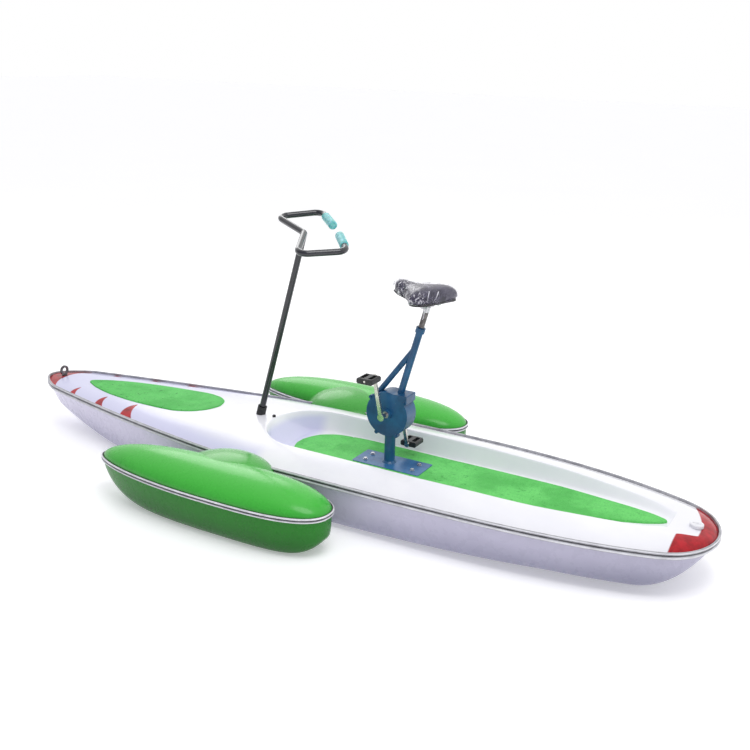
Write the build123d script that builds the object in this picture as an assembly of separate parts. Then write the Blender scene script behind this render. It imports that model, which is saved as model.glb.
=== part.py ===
from build123d import *
import os
from math import cos, sin, tan, radians, pi, sqrt

# Pedal trimaran: a slim centre hull with two short side floats, a raked steering
# column that turns a front rudder, and a pedal drive on a pedestal under a saddle.
# Millimetres. +X is the bow, +Y is port, +Z is up. Z = 0 is the ground under the
# flat keel and the flat float bottoms. X = 0 is a station amidships.

# ---- driving dimensions -------------------------------------------------------
BOW_TIP = 1452.0
STERN_TIP = -1604.0
BOW_ROUND = 146.0        # length over which the bow outline rounds off
STERN_ROUND = 194.0
BOW_LINES_END = 1729.0   # where the unrounded outlines would meet the centreline
STERN_LINES_END = 1838.0
HULL_BEAM = 707.0
WIDEST_X = 40.0          # station of the greatest beam
BOW_POWER = 1.4          # fineness of the bow outline
STERN_POWER = 4.2        # fullness of the stern outline
LINES_HALF = 14.0        # half-breadth of the unrounded outlines at their ends
TIP_HALF = 5.0           # half-breadth left at each rounded tip
BOW_RISE = 5.7           # the rail climbs a little to the bow
STERN_DIP = -15.7        # and falls to the stern
RAIL_Z = 180.0           # height of the joint between deck and hull
SKIN = 5.0               # thickness of the glass-fibre mouldings
RAIL_PROUD = 11.0        # how far the rub rail stands out
RAIL_HEIGHT = 24.0
RAIL_SEAT = 1.2          # bedding gap between a rub rail and its moulding
CROWN_POWER = 3.5        # squareness of the deck crown

FLOAT_BOW = 562.0        # widest station to the forward end
FLOAT_STERN = 463.0      # widest station to the after end
FLOAT_BEAM = 266.0
FLOAT_X = 60.0           # widest station
FLOAT_Y = 527.0
FLOAT_RAIL_Z = 154.0
FLOAT_CROWN = 80.0
FLOAT_STBD_SHIFT = -38.0  # the starboard float sits a little further aft
FLOAT_RAIL_PROUD = 8.0
FLOAT_RAIL_HEIGHT = 18.0

RECESS_FRONT_X = 180.0   # front lip of the cockpit recess
RECESS_NOSE = 200.0      # length of its rounded front
RECESS_AFT_X = -1450.0
RECESS_HALF = 207.0
RECESS_WALL = 30.0       # how far the side walls lean in from lip to floor
FLOOR_Z = 150.0
PAD_THICK = 4.0

TUBE_X = (128.0, -40.0)  # the two cross tubes that carry the floats
TUBE_Z = 98.0
TUBE_R = 19.0

COLUMN_X = 256.0         # where the column axis crosses the deck
COLUMN_Z = 235.0
COLUMN_RAKE = 15.0       # degrees, top leaning aft
COLUMN_R = 12.5
COLUMN_REACH = 807.0     # deck to the middle of the bar
STEER = 46.0             # bar turned to port as the boat stands
BAR_PITCH = 14.2         # bar plane against the column's square
BAR_R = 12.5
BAR_SWEEP = 70.0         # corners ahead of the middle
BAR_HALF = 203.0
BAR_RUN = 186.0          # corner back to the end bend
BAR_FLARE = 12.0
BAR_TURN = 158.0         # end bend inward to the bar's end
GRIP_R = 17.5
GRIP_LENGTH = 112.0

WELL_X = 290.0           # round rudder well under the bow deck
WELL_R = 120.0
WELL_ROOF = 115.0
TUNNEL_HALF = 75.0       # propeller tunnel under the drive
TUNNEL_ROOF = 125.0

DRIVE_X = -357.0         # pedestal, case and crank axle
AXLE_Z = 368.0
CASE_R = 88.0
CASE_HALF = 37.0
CASE_WALL = 4.0
SHOULDER = (-83.0, -16.0, 52.0, 85.0)  # flat-topped corner of the case: aft, fore, low, high of the axle
PEDESTAL_R = 21.0
PLATE = (290.0, 130.0, 6.0)
PLATE_X = -370.0
BOLT_SPAN = (207.0, 60.0)
CRANK_LENGTH = 160.0
CRANK_LEAN = 12.5        # degrees ahead of upright, port crank
CRANK_Y = 80.0
ARM_THICK = 10.0
PEDAL = (68.0, 66.0, 22.0)  # fore-and-aft, across, thick
SHAFT_R = 5.0
GEAR_R = 50.0            # crank bevel, pitch radius
PINION_R = 18.0          # upper bevel on the upright shaft
LOWER_R = 12.0           # both lower bevels
PROP_Z = 66.0
PROP_R = 52.0
RUN = 0.05               # radial running clearance
GAP = 0.3                # gap between pieces that pass each other

SEAT_FOOT = (-398.0, 458.0)
SEAT_JOIN = (-446.0, 634.0)
STAY_FOOT = (66.0, 57.0)  # from the axle
STAY_R = 11.0
SEAT_POST_OUT = 80.0     # post standing above the mast
SEAT_TOP = (-470.0, 722.0)
SADDLE_Z = 823.0         # underside of the cushion
SADDLE_X = -472.0
SADDLE_TURN = -18.0      # nose swung a little to starboard


# ---- shape functions ----------------------------------------------------------
def blend(x, table):
    """Straight-line value at x from (x, value) pairs in rising x."""
    if x <= table[0][0]:
        return table[0][1]
    for (xa, va), (xb, vb) in zip(table, table[1:]):
        if x <= xb:
            return va + (vb - va) * (x - xa) / (xb - xa)
    return table[-1][1]


def hull_half(x):
    """Half-breadth of the hull at the rail, rounded off at both tips."""
    if x >= WIDEST_X:
        part, power = (x - WIDEST_X) / (BOW_LINES_END - WIDEST_X), BOW_POWER
        end, corner = (x - BOW_TIP + BOW_ROUND) / BOW_ROUND, 1.6
    else:
        part, power = (WIDEST_X - x) / (STERN_LINES_END + WIDEST_X), STERN_POWER
        end, corner = (STERN_TIP + STERN_ROUND - x) / STERN_ROUND, 3.8
    outline = LINES_HALF + (HULL_BEAM / 2 - LINES_HALF) * (1 - part ** power)
    return max(outline * sqrt(1 - min(max(end, 0), 1) ** corner), TIP_HALF)


def rail_z(x):
    """Height of the joint between deck and hull."""
    away = max((abs(x) - 700) / 900, 0) ** 1.5
    return RAIL_Z + away * (BOW_RISE if x > 0 else STERN_DIP)


def keel_z(x):
    """Height of the keel line: flat amidships, a raked stem, a swept-up stern."""
    if x > 700:
        return -4 + 176 * ((x - 700) / 830) ** 2.4
    rise = 30 * min(max((-200 - x) / 900, 0), 1) ** 1.6
    tail = 150 * (max(-1390 - x, 0) / 225) ** 2
    return -4 + rise + tail


CROWN = [(-1604, 6), (-1585, 18), (-1540, 28), (-1430, 34), (-1250, 40), (-950, 46), (-300, 53),
         (250, 54), (600, 36), (1000, 22), (1250, 15), (1380, 12), (1430, 9), (1452, 5)]


def crown(x):
    return blend(x, CROWN)


def deck_z(x, y):
    part = min(abs(y) / hull_half(x), 1.0)
    return rail_z(x) + crown(x) * (1 - part ** CROWN_POWER)


AFT_PAD = [(-1436, 10), (-1370, 42), (-1190, 89), (-970, 130), (-600, 157), (-200, 164), (-60, 150),
           (20, 108), (62, 30)]
FORE_PAD = [(470, 20), (500, 72), (560, 112), (640, 130), (800, 124), (1000, 96), (1130, 56), (1215, 12)]


def recess_half(x):
    """Half-width of the cockpit recess at its lip."""
    centre = RECESS_FRONT_X - RECESS_NOSE
    if x > centre:
        return RECESS_HALF * sqrt(max(1 - ((x - centre) / RECESS_NOSE) ** 2, 0))
    return blend(x, [(-1450, 62), (-1370, 106), (-1190, 152), (-970, 188), (-600, RECESS_HALF)])


def floor_z(x):
    """Height of the recess floor: it climbs to the deck at both ends."""
    nose = max(x - 90, 0) / (RECESS_FRONT_X - 90)
    tail = max(-500 - x, 0) / (-500 - RECESS_AFT_X)
    return FLOOR_Z + 84 * nose ** 1.5 + 34 * tail ** 1.6


# ---- small helpers ------------------------------------------------------------
def cyl(radius, length, at, axis=(0, 0, 1)):
    """Solid cylinder from the point at, along axis."""
    plane = Plane(origin=Vector(*at), z_dir=Vector(*axis))
    return extrude(plane * Circle(radius), length)


def tube(outer, inner, length, at, axis=(0, 0, 1)):
    return cyl(outer, length, at, axis) - cyl(inner, length, at, axis)


def rod(radius, start, end):
    a, b = Vector(*start), Vector(*end)
    return cyl(radius, (b - a).length, tuple(a), tuple((b - a).normalized()))


def block(lo, hi):
    size = [b - a for a, b in zip(lo, hi)]
    mid = [(a + b) / 2 for a, b in zip(lo, hi)]
    return Pos(*mid) * Box(*size)


def face_of(points, closing=True):
    """Planar face under a spline through points, closed by a straight line."""
    curve = Spline(*[Vector(*p) for p in points])
    base = Line(curve @ 1, curve @ 0)
    return make_face([curve, base])


def mirrored(solid):
    return mirror(solid, about=Plane.XZ)


def save(solid, name):
    solid.label = name
    export_step(solid, f"parts/{name}.step")


# ---- hull mouldings -----------------------------------------------------------
HULL_STATIONS = [-1604, -1601, -1592, -1575, -1545, -1505, -1455, -1400, -1320, -1200, -950, -650, -300, 40,
                 380, 700, 950, 1150, 1306, 1350, 1390, 1420, 1440, 1449, 1452]
INNER_END = 24.0         # how far the hollow stops short of each tip


def hull_section(x, inset):
    half = hull_half(x) - inset
    top = rail_z(x)
    low = keel_z(x) + inset
    depth = top - low
    vee = 0.3 * max(x - 800, 0) / 660
    shape = [(-1, 0), (-0.985, 0.4), (-0.95, 0.8), (-0.85, 0.95), (-0.5, 0.99), (0, 1)]
    port = [(x, half * a * (1 - vee * b), top - depth * b) for a, b in shape]
    starboard = [(x, -y, z) for x, y, z in reversed(port[:-1])]
    return face_of(port + starboard)


def stations(inset):
    """Stations of an outer skin, or of the hollow inside it."""
    if not inset:
        return HULL_STATIONS
    first, last = STERN_TIP + INNER_END, BOW_TIP - INNER_END
    return [first] + [x for x in HULL_STATIONS if first + 4 < x < last - 4] + [last]


def hull_body(inset):
    return loft([hull_section(x, inset) for x in stations(inset)], ruled=True)


def deck_section(x, inset):
    half = hull_half(x) - inset
    lift = crown(x) - inset * 0.6
    parts = (-1, -0.97, -0.88, -0.7, -0.4, 0, 0.4, 0.7, 0.88, 0.97, 1)
    points = [(x, half * t, rail_z(x) + max(lift, 2) * (1 - abs(t) ** CROWN_POWER)) for t in parts]
    return face_of(points)


def deck_body(inset):
    return loft([deck_section(x, inset) for x in stations(inset)], ruled=True)


RECESS_STATIONS = [179, 174, 160, 135, 100, 50, -20, -200, -500, -600, -800, -970, -1190, -1370, -1450]


def recess_section(x, grow):
    lip = recess_half(x) + grow
    wall = min(RECESS_WALL, lip * 0.45)
    floor = lip - wall
    low = floor_z(x) - grow
    high = max(deck_z(x, lip), low + 2)
    outline = [(x, -lip, 320), (x, -lip, high), (x, -floor, low), (x, floor, low), (x, lip, high), (x, lip, 320)]
    return make_face(Polyline(*outline, close=True))


def recess_body(grow):
    return loft([recess_section(x, grow) for x in RECESS_STATIONS], ruled=True)


def tunnel_body(grow):
    """The propeller tunnel: level roof over the screw, running out aft."""
    roof = TUNNEL_ROOF + grow
    side = Polyline((-295 + grow, -20), (-295 + grow, roof), (-520, roof), (-960 - grow, 25 + grow),
                    (-960 - grow, -20), close=True)
    face = make_face(Plane.XZ * side)
    return extrude(face, TUNNEL_HALF + grow, both=True)


def well_body(grow):
    return cyl(WELL_R + grow, WELL_ROOF + grow + 20, (WELL_X, 0, -20))


def below_ground():
    return block((-2000, -900, -100), (2000, 900, 0))


def bolt_places():
    return [(PLATE_X + sx * BOLT_SPAN[0] / 2, sy * BOLT_SPAN[1] / 2) for sx in (-1, 1) for sy in (-1, 1)]


def bolt_holes(radius):
    return [cyl(radius, 60, (x, y, FLOOR_Z - 30)) for x, y in bolt_places()]


def column_line(distance, radius, length):
    """Cylinder on the column axis; distance is measured up from the deck."""
    axis = column_axis()
    start = Vector(COLUMN_X, 0, COLUMN_Z) + axis * distance
    return cyl(radius, length, tuple(start), tuple(axis))


def column_axis():
    rake = radians(COLUMN_RAKE)
    return Vector(-sin(rake), 0, cos(rake))


def cross_holes(radius):
    return [cyl(radius, 1400, (x, -700, TUBE_Z), (0, 1, 0)) for x in TUBE_X]


STANDING = (Align.CENTER, Align.CENTER, Align.MIN)   # a cone placed by its lower face


def cut_all(solid, tools):
    for tool in tools:
        solid = solid - tool
    return solid


# ---- floats -------------------------------------------------------------------
FLOAT_PARTS = [-1, -0.996, -0.98, -0.94, -0.86, -0.72, -0.5, -0.25, 0, 0.25, 0.5, 0.7, 0.84, 0.93, 0.975, 0.995, 1]


def float_half(part):
    """Half-breadth at part, from -1 at the after end to 1 at the forward end."""
    power, corner = (1.88, 0.5) if part > 0 else (3.4, 0.43)
    return max(FLOAT_BEAM / 2 * (1 - abs(part) ** power) ** corner, TIP_HALF)


def float_x(part, grow=0):
    return FLOAT_X + part * ((FLOAT_BOW if part > 0 else FLOAT_STERN) + grow)


def float_keel(part):
    """Depth of the float under its rail: raked forward end, upright aft end."""
    if part > 0:
        return (FLOAT_RAIL_Z + 5) * (1 - 0.9 * part ** 5.2)
    return (FLOAT_RAIL_Z + 5) * (1 - 0.5 * (-part) ** 9)


def float_bottom_section(part, inset):
    x = float_x(part, -inset * 3)
    half = max(float_half(part) - inset, 2.5)
    depth = max(float_keel(part) - inset, 6)
    shape = [(-1, 0), (-0.97, 0.35), (-0.86, 0.75), (-0.62, 0.96), (-0.3, 1), (0, 1)]
    left = [(x, FLOAT_Y + half * a, FLOAT_RAIL_Z - depth * b) for a, b in shape]
    right = [(x, FLOAT_Y - half * a, FLOAT_RAIL_Z - depth * b) for a, b in reversed(shape[:-1])]
    return face_of(left + right)


def float_top_section(part, inset):
    x = float_x(part, -inset * 3)
    half = max(float_half(part) - inset, 2.5)
    rise = max(FLOAT_CROWN * (1 - abs(part) ** 3.2) ** 0.6 + 5 - inset, 3)
    turns = [radians(180 * i / 10) for i in range(11)]
    points = [(x, FLOAT_Y + half * cos(t), FLOAT_RAIL_Z + rise * sin(t) ** 0.9) for t in turns]
    return face_of(points)


def float_solid(section, inset):
    return loft([section(part, inset) for part in FLOAT_PARTS], ruled=True)


def float_outline(grow):
    count = 24
    port = []
    for i in range(count + 1):
        part = -cos(pi * i / count)
        port.append((float_x(part, grow), FLOAT_Y + float_half(part) + grow))
    return ring_face(port, 2 * FLOAT_Y)


def hull_outline(grow):
    count = 48
    middle, reach = (BOW_TIP + STERN_TIP) / 2, (BOW_TIP - STERN_TIP) / 2
    port = []
    for i in range(count + 1):
        part = -cos(pi * i / count)
        port.append((middle + part * (reach + grow), hull_half(middle + part * reach) + grow))
    return ring_face(port, 0)


def ring_face(port, twice_centre):
    """Closed outline from its port half; the other half is its reflection."""
    curve = Spline(*port)
    other = Spline(*[(x, twice_centre - y) for x, y in port])
    ends = [Line(curve @ 0, other @ 0), Line(curve @ 1, other @ 1)]
    return make_face([curve, other] + ends)


def build_floats(parts, hull_outer, deck_outer):
    bottom_outer = float_solid(float_bottom_section, 0) - below_ground()
    top_outer = float_solid(float_top_section, 0)
    holes = cross_holes(TUBE_R + 0.1)
    cavity = float_solid(float_bottom_section, SKIN) - block((-2000, -900, -100), (2000, 900, SKIN))
    inner_side = block((-200, 300, 0), (300, FLOAT_Y, 200))
    bottom = bottom_outer - cavity
    top = top_outer - float_solid(float_top_section, SKIN)
    low = FLOAT_RAIL_Z - FLOAT_RAIL_HEIGHT / 2
    band = extrude(Pos(0, 0, low) * float_outline(FLOAT_RAIL_PROUD), FLOAT_RAIL_HEIGHT)
    rail = band - extrude(Pos(0, 0, low - 1) * float_outline(RAIL_SEAT), FLOAT_RAIL_HEIGHT + 2)
    for side, shift in (("port", 0), ("stbd", FLOAT_STBD_SHIFT)):
        move = Pos(shift, 0, 0)
        holed = cut_all(move * bottom, [hole & inner_side for hole in holes])
        fairing = build_fairing([move * bottom_outer, move * top_outer, move * band, hull_outer, deck_outer])
        for name, solid in (("float_bottom", holed), ("float_top", move * top), ("float_rail", move * rail),
                            ("arm_fairing", fairing)):
            parts[f"{name}_{side}"] = solid if side == "port" else mirrored(solid)


def egg(x, y, z, rx, ry, rz):
    """Ellipsoid with the given middle and half-axes."""
    return Pos(x, y, z) * scale(Sphere(1), by=(rx, ry, rz))


def build_fairing(neighbours):
    """Moulded cover over the arm, from the float's top to the hull's deck edge."""
    outer = egg(95, 452, 150, 196, 176, 92)
    inner = egg(95, 452, 150, 190, 170, 86)
    shell = (outer - inner) & block((-200, 0, 128), (400, 640, 400))
    return biggest(cut_all(shell, neighbours + [hull_band()]))


def biggest(shape):
    solids = sorted(shape.solids(), key=lambda s: s.volume)
    return solids[-1]


def hull_ring(grow):
    """Upright prism over the hull's outline, taller than the rail's rise and fall."""
    low = RAIL_Z + STERN_DIP - RAIL_HEIGHT
    return extrude(Pos(0, 0, low) * hull_outline(grow), BOW_RISE - STERN_DIP + 2 * RAIL_HEIGHT)


def hull_band():
    """Solid as wide as the rub rail, following the rise and fall of the joint."""
    xs = [STERN_TIP - 30, -1550, -1450, -1350, -1250, -1100, -950, -800, -700, 700, 900, 1100, 1300, BOW_TIP + 30]
    upper = [(x, rail_z(x) + RAIL_HEIGHT / 2) for x in xs]
    lower = [(x, z - RAIL_HEIGHT) for x, z in upper[::-1]]
    strip = extrude(make_face(Plane.XZ * Polyline(*upper, *lower, close=True)), HULL_BEAM, both=True)
    return hull_ring(RAIL_PROUD) & strip


# ---- hull assembly ------------------------------------------------------------
def build_hull(parts, hull_outer, deck_outer):
    recess = recess_body(0)
    recess_outer = recess_body(SKIN)
    shaft_hole = cyl(18, 200, (DRIVE_X, 0, 60))
    column_hole = column_line(-150, 20.2, 200)
    hull = hull_outer - tunnel_body(0) - well_body(0) - below_ground()
    cavity = hull_body(SKIN) - tunnel_body(SKIN) - well_body(SKIN) - block((-2000, -900, -100), (2000, 900, SKIN))
    hull = hull - cavity
    roof_holes = [shaft_hole & block((-500, -50, 100), (-300, 50, 140)),
                  column_hole & block((200, -60, 100), (400, 60, 140))]
    parts["hull_shell"] = cut_all(hull, cross_holes(TUBE_R + 0.1) + roof_holes)

    under = block((RECESS_AFT_X - 10, -260, 90), (RECESS_FRONT_X + 10, 260, RAIL_Z))
    tub = (recess_outer & deck_outer) + (recess_outer & under)
    deck = (deck_outer - deck_body(SKIN)) + tub - recess
    holes = bolt_holes(4.1) + [shaft_hole, column_hole]
    parts["deck_shell"] = biggest(cut_all(deck, holes))

    parts["hull_rub_rail"] = hull_band() - hull_ring(RAIL_SEAT)
    parts["aft_pad"] = cut_all(build_aft_pad(recess), bolt_holes(4.1) + [shaft_hole])
    parts["fore_pad"] = build_fore_pad(deck_outer)


def leaf_prism(table, low, height):
    """Upright prism over a leaf outline given as (x, half-width) pairs."""
    curve = Spline(*[(x, half) for x, half in table])
    other = Spline(*[(x, -half) for x, half in table])
    face = make_face([curve, other, Line(curve @ 0, other @ 0), Line(curve @ 1, other @ 1)])
    return extrude(Pos(0, 0, low) * face, height)


def build_aft_pad(recess):
    """Foam sheet lying on the recess floor."""
    prism = leaf_prism(AFT_PAD, 100, 200)
    return biggest((prism & recess) - (Pos(0, 0, PAD_THICK) * recess))


def build_fore_pad(deck_outer):
    """Foam sheet following the crowned fore deck."""
    prism = leaf_prism(FORE_PAD, 150, 150)
    return biggest((prism & (Pos(0, 0, PAD_THICK) * deck_outer)) - (Pos(0, 0, 0.1) * deck_outer))


def build_deck_fittings(parts):
    eye_x = 1382.0
    top = deck_z(eye_x, 0)
    washer = cyl(13, 3, (eye_x, 0, top))
    shank = cyl(4, 14, (eye_x, 0, top - 9))
    ring = tube(23, 14, 8, (eye_x - 4, 0, top + 25), (1, 0, 0))
    parts["tow_eye"] = washer + shank + ring
    seat = cyl(13.1, 20, (eye_x, 0, top)) + cyl(4.1, 14, (eye_x, 0, top - 12))
    parts["deck_shell"] = parts["deck_shell"] - seat

    cap_x = -1533.0
    low = deck_z(cap_x, 0)
    neck = cyl(17, 18, (cap_x, 0, low - 14))
    knob = cyl(24, 12, (cap_x, 0, low + 1))
    knob = fillet(knob.edges().group_by(Axis.Z)[-1], 4)
    slot = block((cap_x - 15, -2, low + 9), (cap_x + 15, 2, low + 20))
    parts["stern_plug"] = knob + neck - slot
    seat = cyl(24.1, 20, (cap_x, 0, low + 0.9)) + cyl(17.1, 40, (cap_x, 0, low - 20))
    parts["deck_shell"] = parts["deck_shell"] - seat

    stud_x = 189.0
    base = deck_z(stud_x, 0)
    stud = cyl(7, 9, (stud_x, 0, base))
    stud = fillet(stud.edges().group_by(Axis.Z)[-1], 3)
    parts["deck_stud"] = stud + cyl(2.5, 6, (stud_x, 0, base - 4))
    seat = cyl(2.6, 12, (stud_x, 0, base - 8)) + cyl(7.1, 20, (stud_x, 0, base))
    parts["deck_shell"] = parts["deck_shell"] - seat


def build_cross_tubes(parts):
    for name, x in zip(("cross_tube_fore", "cross_tube_aft"), TUBE_X):
        reach = FLOAT_Y + 40
        parts[name] = tube(TUBE_R, TUBE_R - 2.5, 2 * reach, (x, -reach, TUBE_Z), (0, 1, 0))


# ---- steering -----------------------------------------------------------------
def steer_axes():
    """Forward, left and up directions of the turned column."""
    turn = radians(STEER)
    rake = radians(COLUMN_RAKE)
    up = column_axis()
    ahead = Vector(cos(rake), 0, sin(rake))
    left = Vector(0, 1, 0)
    return ahead * cos(turn) + left * sin(turn), left * cos(turn) - ahead * sin(turn), up


def bar_points():
    ahead, left, up = steer_axes()
    pitch = radians(BAR_PITCH)
    level = ahead * cos(pitch) - up * sin(pitch)
    middle = Vector(COLUMN_X, 0, COLUMN_Z) + up * COLUMN_REACH
    half = []
    for side in (1, -1):
        corner = middle + level * BAR_SWEEP + left * (side * BAR_HALF)
        bend = middle + level * (BAR_SWEEP - BAR_RUN) + left * (side * (BAR_HALF + BAR_FLARE))
        end = middle + level * (BAR_SWEEP - BAR_RUN - 10) + left * (side * (BAR_HALF + BAR_FLARE - BAR_TURN))
        half.append([corner, bend, end])
    return middle, half


def build_steering(parts):
    middle, (port, stbd) = bar_points()
    points = port[::-1] + [middle] + stbd
    path = FilletPolyline(*points, radius=[34, 34, 26, 34, 34])
    profile = Plane(origin=path @ 0, z_dir=path % 0) * Circle(BAR_R)
    bar = sweep(profile, path=path)
    parts["handlebar"] = bar
    foot = -112.0
    column = column_line(foot, COLUMN_R, COLUMN_REACH - foot) - column_line(30, COLUMN_R - 2.5, COLUMN_REACH)
    parts["steering_column"] = biggest(column - bar)
    for name, leg in (("grip_port", port), ("grip_stbd", stbd)):
        way = (leg[2] - leg[1]).normalized()
        start = leg[2] - way * (GRIP_LENGTH - 6)
        grip = cyl(GRIP_R, GRIP_LENGTH, tuple(start), tuple(way))
        grip = fillet(grip.edges(), 7)
        parts[name] = grip - cyl(BAR_R + 0.02, GRIP_LENGTH - 6, tuple(start), tuple(way))

    collar = column_line(-8, 19, 44) - column_line(-30, COLUMN_R + 1, 90)
    parts["column_collar"] = biggest(fillet(collar.edges().group_by(Axis.Z)[-1], 3))
    trunk = column_line(-118, 20, 108) - column_line(-130, 16, 130)
    trunk = trunk & block((200, -60, WELL_ROOF + 1), (400, 60, 300))
    parts["rudder_trunk"] = biggest(trunk)
    for name, low in (("column_bush_upper", -8 - 12), ("column_bush_lower", -105)):
        parts[name] = column_line(low, 15.9, 12) - column_line(low - 2, COLUMN_R + RUN, 20)
    build_rudder(parts)


def build_rudder(parts):
    ahead, left, up = steer_axes()
    origin = Vector(COLUMN_X, 0, COLUMN_Z)
    plane = Plane(origin=origin, x_dir=ahead, z_dir=left * -1)
    outline = Polyline((38, -140), (40, -214), (22, -232), (-88, -204), (-100, -190), (-92, -146), (-40, -140),
                       close=True)
    blade = extrude(plane * make_face(outline), 4, both=True)
    stock = cyl(COLUMN_R - 0.5, 62, tuple(origin - up * 175), tuple(up))
    parts["rudder_blade"] = blade + stock


# ---- drive --------------------------------------------------------------------
def build_pedestal(parts):
    length, width, thick = PLATE
    low = FLOOR_Z + PAD_THICK + 0.2
    plate = block((PLATE_X - length / 2, -width / 2, low), (PLATE_X + length / 2, width / 2, low + thick))
    plate = fillet(plate.edges().filter_by(Axis.Z), 6)
    plate = plate - cyl(PEDESTAL_R - 3.5, 40, (DRIVE_X, 0, low - 10))
    parts["base_plate"] = cut_all(plate, bolt_holes(4.1))
    top = low + thick
    bolts = []
    for x, y in bolt_places():
        washer = cyl(9, 1.6, (x, y, top))
        head = extrude(Pos(x, y, top + 1.6) * RegularPolygon(7.5, 6), 5.5)
        shank = cyl(4, 24, (x, y, top - 24))
        nut = extrude(Pos(x, y, FLOOR_Z - SKIN - 7) * RegularPolygon(7.5, 6), 6.5)
        bolts.append(washer + head + shank + nut)
    parts["plate_bolts"] = Compound(bolts)
    base = AXLE_Z - sqrt(CASE_R ** 2 - PEDESTAL_R ** 2) + 1
    stem = tube(PEDESTAL_R, PEDESTAL_R - 4, base + 14 - top, (DRIVE_X, 0, top))
    weld = Pos(DRIVE_X, 0, top) * Cone(PEDESTAL_R + 7, PEDESTAL_R, 7, align=STANDING)
    weld = weld - cyl(PEDESTAL_R - 4, 30, (DRIVE_X, 0, top - 1))
    parts["pedestal"] = stem + weld


def build_case(parts):
    at = (DRIVE_X, -CASE_HALF, AXLE_Z)
    depth = 2 * CASE_HALF - CASE_WALL
    shell = cyl(CASE_R, depth, at, (0, 1, 0))
    aft, fore, below, above = SHOULDER
    seam = CASE_HALF - CASE_WALL
    shoulder = block((DRIVE_X + aft, -CASE_HALF, AXLE_Z + below), (DRIVE_X + fore, seam, AXLE_Z + above))
    shell = shell + fillet(shoulder.edges().filter_by(Axis.Y), 4)
    shell = shell - cyl(CASE_R - CASE_WALL, depth, (DRIVE_X, CASE_WALL - CASE_HALF, AXLE_Z), (0, 1, 0))
    shell = shell - parts["pedestal"] - cyl(PEDESTAL_R - 4, 60, (DRIVE_X, 0, AXLE_Z - 110))
    shell = shell - cyl(14.02, 40, (DRIVE_X, -CASE_HALF - 5, AXLE_Z), (0, 1, 0))
    ears = []
    for turn in (-118, -62, 38, 142):
        spot = (DRIVE_X + (CASE_R + 3) * cos(radians(turn)), 0, AXLE_Z + (CASE_R + 3) * sin(radians(turn)))
        ears.append(spot)
        shell = shell + (cyl(8, 16, (spot[0], CASE_HALF - CASE_WALL - 16, spot[2]), (0, 1, 0))
                         - cyl(CASE_R - 1, depth, at, (0, 1, 0)))
    lid = cyl(CASE_R, CASE_WALL, (DRIVE_X, CASE_HALF - CASE_WALL, AXLE_Z), (0, 1, 0))
    corner = block((DRIVE_X + aft, seam, AXLE_Z + below), (DRIVE_X + fore, CASE_HALF, AXLE_Z + above))
    lid = lid + fillet(corner.edges().filter_by(Axis.Y), 4)
    lid = lid + cyl(22, 10, (DRIVE_X, CASE_HALF, AXLE_Z), (0, 1, 0))
    screws = []
    for x, _, z in ears:
        lid = lid + cyl(8, CASE_WALL, (x, CASE_HALF - CASE_WALL, z), (0, 1, 0))
        hole = cyl(3.1, 40, (x, CASE_HALF - 20, z), (0, 1, 0))
        lid = lid - hole
        shell = shell - hole
        head = extrude(Plane(origin=(x, CASE_HALF, z), z_dir=(0, 1, 0)) * RegularPolygon(5.5, 6), 4)
        screws.append(head + cyl(3, 18, (x, CASE_HALF - 18, z), (0, 1, 0)))
    lid = lid - cyl(14.02, 60, (DRIVE_X, 0, AXLE_Z), (0, 1, 0))
    parts["gear_case"] = biggest(shell)
    parts["case_cover"] = lid
    parts["case_screws"] = Compound(screws)
    for name, y in (("axle_bearing_port", CASE_HALF - 4), ("axle_bearing_stbd", -CASE_HALF)):
        parts[name] = tube(14, 8 + RUN, 12 if y > 0 else 10, (DRIVE_X, y, AXLE_Z), (0, 1, 0))
    collar = tube(PEDESTAL_R - 4.05, SHAFT_R + RUN, 10, (DRIVE_X, 0, AXLE_Z - 92))
    parts["shaft_bearing"] = collar


def build_seat_frame(parts):
    foot, join, top = [Vector(x, 0, z) for x, z in (SEAT_FOOT, SEAT_JOIN, SEAT_TOP)]
    way = (top - foot).normalized()
    mast = rod(13.5, tuple(foot - way * 14), tuple(top))
    meet = foot + way * (join - foot).length
    stay = rod(STAY_R, (DRIVE_X + STAY_FOOT[0], 0, AXLE_Z + STAY_FOOT[1]), tuple(meet))
    frame = mast + stay - rod(11.02, tuple(meet), tuple(top + way * 5))
    frame = frame - rod(11.02, tuple(foot + way * 20), tuple(meet + way))
    keep = cyl(CASE_R + 0.05, 2 * CASE_HALF, (DRIVE_X, -CASE_HALF, AXLE_Z), (0, 1, 0))
    parts["seat_frame"] = biggest(frame - keep - parts["gear_case"])
    parts["seat_collar"] = tube(18, 13.55, 20, tuple(top - way * 22), tuple(way))
    head = top + way * SEAT_POST_OUT
    parts["seat_post"] = rod(10.95, tuple(top - way * 96), tuple(head))
    return head, way


def build_saddle(parts, head, way):
    """Saddle on its clamp, swung about the upright line through the post's head."""
    swing = Pos(head.X, 0, 0) * Rot(0, 0, SADDLE_TURN) * Pos(-head.X, 0, 0)
    clamp = swing * cyl(9, 56, (head.X, -28, head.Z + 7), (0, 1, 0))
    parts["saddle_clamp"] = clamp + rod(12.5, tuple(head - way * 16), tuple(head + way * 6)) - parts["seat_post"]
    rails = []
    for side in (1, -1):
        low = head.Z + 11
        rail = FilletPolyline((head.X - 44, side * 40, SADDLE_Z + 4), (head.X - 26, side * 34, low),
                              (head.X + 62, side * 22, low), (head.X + 104, side * 10, SADDLE_Z + 8), radius=9)
        rails.append(swing * sweep(Plane(origin=rail @ 0, z_dir=rail % 0) * Circle(3.5), path=rail))
    parts["saddle_rails"] = Compound([r - parts["saddle_clamp"] for r in rails])
    parts["saddle_base"] = cut_all(swing * saddle_loft(0, 12, 0.93), rails)
    parts["saddle"] = swing * saddle_loft(12.3, 62, 1.0)


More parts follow.
